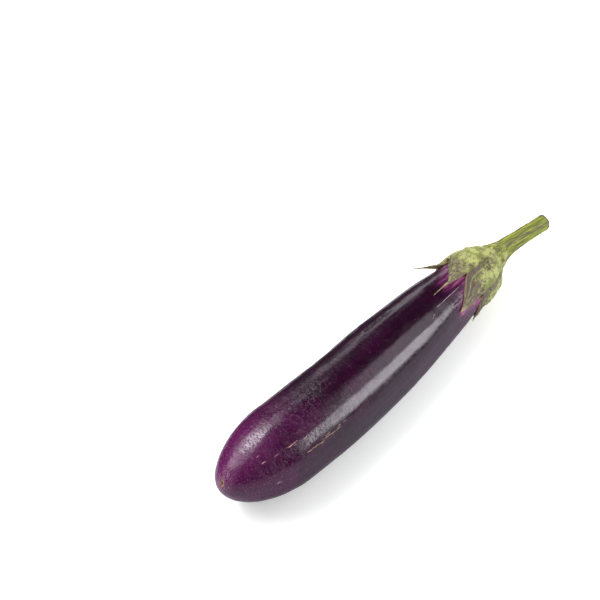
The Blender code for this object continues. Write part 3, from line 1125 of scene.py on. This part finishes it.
def stem_material(blotches, speckles):
    """Fibrous green with long light and dark lines, painted shade in the grooves between the ribs,
    broken brown dashes and specks on the ribs, and a dark ragged rim at the cut."""
    material, tree, shader = new_material("stem_fibre")
    straight = attribute(tree, "straight")
    rib = attribute(tree, "rib", "Fac")
    fibre = noise(tree, stretched(tree, straight, (0.10, 1.0, 1.0)), 1000.0, 4.0, 0.6)
    fine = noise(tree, straight, 2400.0, 3.0, 0.6)
    color = blend(tree, ramp(tree, fibre, 0.40, 0.60), STEM_GREEN, STEM_LIGHT)
    # Darker between the ribs: painted shade in the grooves.
    color = blend(tree, ramp(tree, rib, 0.35, 0.0, 0.0, 0.45), color, STEM_DARK_AND_SHADE)
    color = blend(tree, ramp(tree, fine, 0.58, 0.74, 0.0, 0.5), color, STEM_DARK_AND_SHADE)
    drawn_out = stretched(tree, straight, (0.22, 1.0, 1.0))
    dashes = mask(
        tree, blotches, Vector=drawn_out, Scale=800.0, Level=0.50, Softness=0.07, Grain=0.8
    )
    dashes = times(tree, dashes, ramp(tree, rib, 0.50, 0.92, 0.12, 0.9))
    color = blend(tree, dashes, color, BRUISE)
    drawn_out = stretched(tree, straight, (0.6, 1.0, 1.0))
    specks = mask(tree, speckles, Vector=drawn_out, Scale=820.0, Size=0.72, Share=0.50)
    specks = times(tree, specks, ramp(tree, rib, 0.30, 0.85, 0.25, 0.85))
    color = blend(tree, specks, color, BRUISE_DARK)
    ragged = plus(tree, parts(tree, straight)["X"], times(tree, fine, RIM_RAGGEDNESS))
    rim = ramp(tree, ragged, *RIM_SPAN)
    color = blend(tree, times(tree, rim, 0.9), color, BRUISE_DARK)
    tree.links.new(color, shader.inputs["Base Color"])
    height = times(tree, fine, STEM_FINE_HEIGHT)
    height = plus(tree, height, times(tree, fibre, FIBRE_HEIGHT))
    set_bump(tree, shader, height)
    tree.links.new(ramp(tree, fine, 0.3, 0.7, 0.45, 0.65), shader.inputs["Roughness"])
    shader.inputs["Specular IOR Level"].default_value = 0.3
    return material


PITH = (0.430, 0.330, 0.190, 1)
PITH_PALE = (0.560, 0.500, 0.300, 1)
PITH_RIM = (0.120, 0.060, 0.045, 1)
PITH_REACH = (0.0008, 0.0024)
PITH_RIM_REACH = (0.0030, 0.0040)
PITH_RAGGEDNESS = 0.0011
PITH_HEIGHT = 0.00035


def cut_material(blotches):
    """Dried cut fibre: a pale pith, a tan ring and a dark shrunken rim, by ragged distance from
    the middle, with dark patches."""
    material, tree, shader = new_material("cut_fibre")
    straight = attribute(tree, "straight")
    place = parts(tree, straight)
    fine = noise(tree, straight, 2200.0, 4.0, 0.65)
    ragged = times(tree, minus(tree, fine, 0.5), PITH_RAGGEDNESS)
    reach = plus(tree, hypotenuse(tree, place["Y"], place["Z"]), ragged)
    color = blend(tree, ramp(tree, reach, *PITH_REACH), PITH_PALE, PITH)
    patch = mask(tree, blotches, Vector=straight, Scale=900.0, Level=0.5, Softness=0.1)
    color = blend(tree, times(tree, patch, 0.45), color, PITH_RIM)
    color = blend(tree, ramp(tree, reach, *PITH_RIM_REACH), color, PITH_RIM)
    tree.links.new(color, shader.inputs["Base Color"])
    set_bump(tree, shader, times(tree, fine, PITH_HEIGHT))
    tree.links.new(ramp(tree, fine, 0.3, 0.7, 0.6, 0.85), shader.inputs["Roughness"])
    return material


# ---------------------------------------------------------------- studio

VIEW_AZIMUTH = math.radians(-49)
VIEW_ELEVATION = math.radians(45)
VIEW_DISTANCE = 0.857
VIEW_AIM = (0.0045, 0.0463, 0.0429)
LENS_MM = 100

# The surround's strength where it is seen, where it lights and where the skin mirrors it.
SURROUND_TONE = 0.94
LIGHT_TONE = 0.58
MIRRORED_TONE = 0.035
MIRRORED_TINT = (0.95, 0.95, 1, 1)
WHITE = (1, 1, 1, 1)
BLACK = (0, 0, 0, 1)

PAPER = (0.885, 0.920, 0.880, 1)
PAPER_LIGHT = (0.910, 0.945, 0.905, 1)
PAPER_MIRRORED = (0.460, 0.450, 0.500, 1)
PAPER_GLOW = 0.20
PAPER_FADE = (0.6, 1.4)
FLOOR_REACH = 30.0

FELT_DARK = (0.004, 0.003, 0.004, 1)
FELT_LIGHT = (0.010, 0.008, 0.010, 1)
FLAG_ENDS = (-0.16, 0.17)
FLAG_BEHIND = 0.068
FLAG_HEIGHTS = (0.0005, 0.038)

# Each lamp is (name, place, size, radiance, aim).
LAMP_COLOR = (0.98, 0.94, 1.0)
LAMP_SOFT_SHARE = 0.22
FRUIT_MIDDLE = (0.01, 0.0, 0.02)
LAMPS = (
    ("side_box", (0.53, -0.55, 0.29), (0.98, 0.37), 8.2, (0.52, 0.0, 0.02)),
    ("high_front", (0.84, -0.42, 0.72), (0.96, 0.56), 2.2, (0.84, 0.0, 0.02)),
    ("back_strip", (0.84, 0.80, 0.325), (0.84, 0.44), 1.9, (0.84, 0.0, 0.325)),
    ("key_box", (-0.16, 0.57, 0.96), (0.50, 0.60), 12.0, FRUIT_MIDDLE),
    ("key_wide", (-0.24, 0.56, 0.80), (1.20, 1.15), 4.1, FRUIT_MIDDLE),
    ("key_tail", (0.33, 0.60, 0.90), (0.44, 0.50), 1.3, FRUIT_MIDDLE),
)


def add_camera():
    """Looks at the aim point along the view's azimuth and elevation, from a set distance."""
    data = bpy.data.cameras.new("camera")
    data.lens = LENS_MM
    data.clip_start = 0.01
    camera = bpy.data.objects.new("camera", data)
    bpy.context.scene.collection.objects.link(camera)
    ahead = np.array([
        -math.sin(VIEW_AZIMUTH) * math.cos(VIEW_ELEVATION),
        math.cos(VIEW_AZIMUTH) * math.cos(VIEW_ELEVATION),
        -math.sin(VIEW_ELEVATION),
    ])
    camera.location = np.array(VIEW_AIM) - ahead * VIEW_DISTANCE
    camera.rotation_euler = (math.pi / 2 - VIEW_ELEVATION, 0, VIEW_AZIMUTH)
    bpy.context.scene.camera = camera


def dim_towards_edges(data):
    """Lamp strength rises smoothly from 0 at the edges to 1, over a soft share of each side."""
    data.use_nodes = True
    tree = data.node_tree
    place = parts(tree, node(tree, "ShaderNodeNewGeometry").outputs["Parametric"])
    strength = 1.0
    for side in ("X", "Y"):
        off_middle = apart(tree, place[side], 0.5)
        strength = times(tree, strength, ramp(tree, off_middle, 0.5, 0.5 - LAMP_SOFT_SHARE))
    tree.links.new(strength, tree.nodes["Emission"].inputs["Strength"])


def add_softbox(name, place, size, radiance, aim):
    """A rectangular lamp facing the aim point. Its power is pi x area x radiance."""
    data = bpy.data.lights.new(name, "AREA")
    data.shape = "RECTANGLE"
    data.size, data.size_y = size
    data.energy = math.pi * size[0] * size[1] * radiance
    data.color = LAMP_COLOR
    lamp = bpy.data.objects.new(name, data)
    bpy.context.scene.collection.objects.link(lamp)
    lamp.location = place
    away = lamp.location - Vector(aim)
    lamp.rotation_euler = away.to_track_quat("Z", "Y").to_euler()
    dim_towards_edges(data)


def add_world():
    """A plain pale surround: soft grey for lighting, dimmer where the skin mirrors it."""
    world = bpy.data.worlds.new("studio")
    world.use_nodes = True
    bpy.context.scene.world = world
    tree = world.node_tree
    rays = node(tree, "ShaderNodeLightPath").outputs
    light, seen, mirrored = (
        node(tree, "ShaderNodeBackground", {"Color": color, "Strength": tone}).outputs[0]
        for color, tone in ((WHITE, LIGHT_TONE), (WHITE, SURROUND_TONE), (MIRRORED_TINT, MIRRORED_TONE))
    )
    unseen = node(tree, "ShaderNodeMixShader", {0: rays["Is Glossy Ray"], 1: light, 2: mirrored}).outputs[0]
    final = node(tree, "ShaderNodeMixShader", {0: rays["Is Camera Ray"], 1: unseen, 2: seen}).outputs[0]
    tree.links.new(final, tree.nodes["World Output"].inputs["Surface"])


def floor_material():
    """White paper that fades far away into the surround's own tone, so no horizon shows. The
    glossy skin mirrors a dimmer sheet, as it does in a tent with dark gaps."""
    material, tree, shader = new_material("studio_paper")
    place = node(tree, "ShaderNodeTexCoord").outputs["Object"]
    rays = node(tree, "ShaderNodeLightPath").outputs
    paper = blend(tree, noise(tree, place, 6.0, 2.0), PAPER, PAPER_LIGHT)
    color = blend(tree, rays["Is Glossy Ray"], paper, PAPER_MIRRORED)
    distance = node(tree, "ShaderNodeVectorMath", {0: place}, operation="LENGTH").outputs["Value"]
    faded = times(tree, ramp(tree, distance, *PAPER_FADE), rays["Is Camera Ray"])
    tree.links.new(blend(tree, faded, color, BLACK), shader.inputs["Base Color"])
    shader.inputs["Roughness"].default_value = 0.9
    shader.inputs["Specular IOR Level"].default_value = 0.0
    shader.inputs["Emission Color"].default_value = WHITE
    near_glow = times(tree, rays["Is Camera Ray"], PAPER_GLOW)
    far_glow = times(tree, faded, SURROUND_TONE - PAPER_GLOW)
    tree.links.new(plus(tree, near_glow, far_glow), shader.inputs["Emission Strength"])
    return material


def add_floor():
    """One wide sheet of pale paper at height 0, under everything."""
    side = np.array([-FLOOR_REACH, FLOOR_REACH])
    x, y = np.meshgrid(side, side)
    points = np.stack([x, y, np.zeros_like(x)], axis=-1)
    floor = new_piece("floor", points, [(0, 1, 3, 2)], floor_material())


def add_flag():
    """A low dark card behind the fruit that only its gloss sees, so its far flank stays deep."""
    x, z = np.meshgrid(FLAG_ENDS, FLAG_HEIGHTS)
    points = np.stack([x, np.full_like(x, FLAG_BEHIND), z], axis=-1)
    material, tree, shader = new_material("black_felt")
    felt = noise(tree, node(tree, "ShaderNodeTexCoord").outputs["Object"], 400.0, 2.0)
    tree.links.new(blend(tree, felt, FELT_DARK, FELT_LIGHT), shader.inputs["Base Color"])
    flag = new_piece("dark_flag", points, [(0, 1, 3, 2)], material)
    flag.visible_camera = False
    flag.visible_diffuse = False
    flag.visible_shadow = False


def add_studio():
    """Camera, surround, floor, lamps and flag, with colors shown as they are."""
    add_camera()
    add_world()
    add_floor()
    for lamp in LAMPS:
        add_softbox(*lamp)
    add_flag()
    bpy.context.scene.view_settings.view_transform = "Standard"


# ---------------------------------------------------------------- build


def finish_piece(piece, material_slot, *nodes):
    """The piece rides with the object and stands for the CAD nodes named. Its slot is not used."""
    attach(piece, "root")
    if nodes:
        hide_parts(*nodes)


def build():
    """The pattern groups, then the four pieces of the eggplant, then the studio."""
    speckles = speckle_group()
    long_mark = long_mark_group()
    blotches = blotch_group()
    finish_piece(make_fruit(skin_material(speckles, long_mark)), "skin", "fruit")
    near_point = near_point_group()
    finish_piece(make_cap(cap_material(blotches, speckles, near_point)), "cap_green", "calyx")
    finish_piece(make_stem(stem_material(blotches, speckles)), "stem_green", "stem")
    finish_piece(make_cut_face(cut_material(blotches)), "stem_green")
    add_studio()


build()
